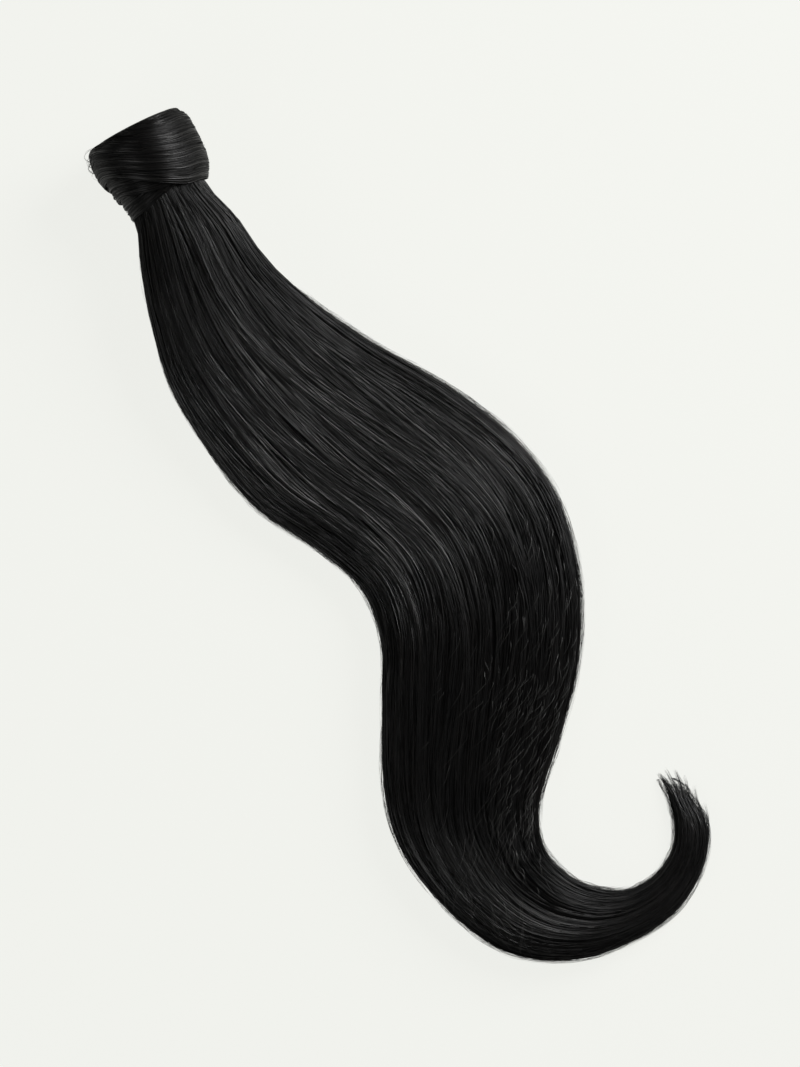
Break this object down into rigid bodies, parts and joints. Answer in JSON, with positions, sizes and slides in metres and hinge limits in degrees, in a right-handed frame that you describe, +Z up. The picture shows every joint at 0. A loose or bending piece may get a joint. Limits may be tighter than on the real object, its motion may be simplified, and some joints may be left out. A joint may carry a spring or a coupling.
{
  "type": "ponytail hairpiece",
  "caption": "Long black ponytail hairpiece lying in an S-curve: gathered hair, a wound strand over a sewn tube, and a comb inside the open end that takes the wearer's own ponytail.",
  "frame": {"origin": "on the surface that the hairpiece lies on, under the middle of its overall box", "axes": "+Z up; +Y along the wrap's axis, out of its open end towards the wearer's head; the tail runs towards -Y and its tip curls round to +X"},
  "size_m": [0.1382, 0.4386, 0.0519],
  "materials": {
    "hair": "glossy black hair",
    "wrap_hair": "glossy black hair, tightly wound",
    "weft": "matt black sewn weft",
    "comb_plastic": "semi-gloss dark brown plastic"
  },
  "bodies": {
    "root": {"tail": "hair", "wrap_outer_turn": "wrap_hair", "wrap_middle_turn": "wrap_hair", "wrap_inner_turn": "wrap_hair", "weft_tube": "weft", "comb": "comb_plastic"}
  },
  "joints": []
}
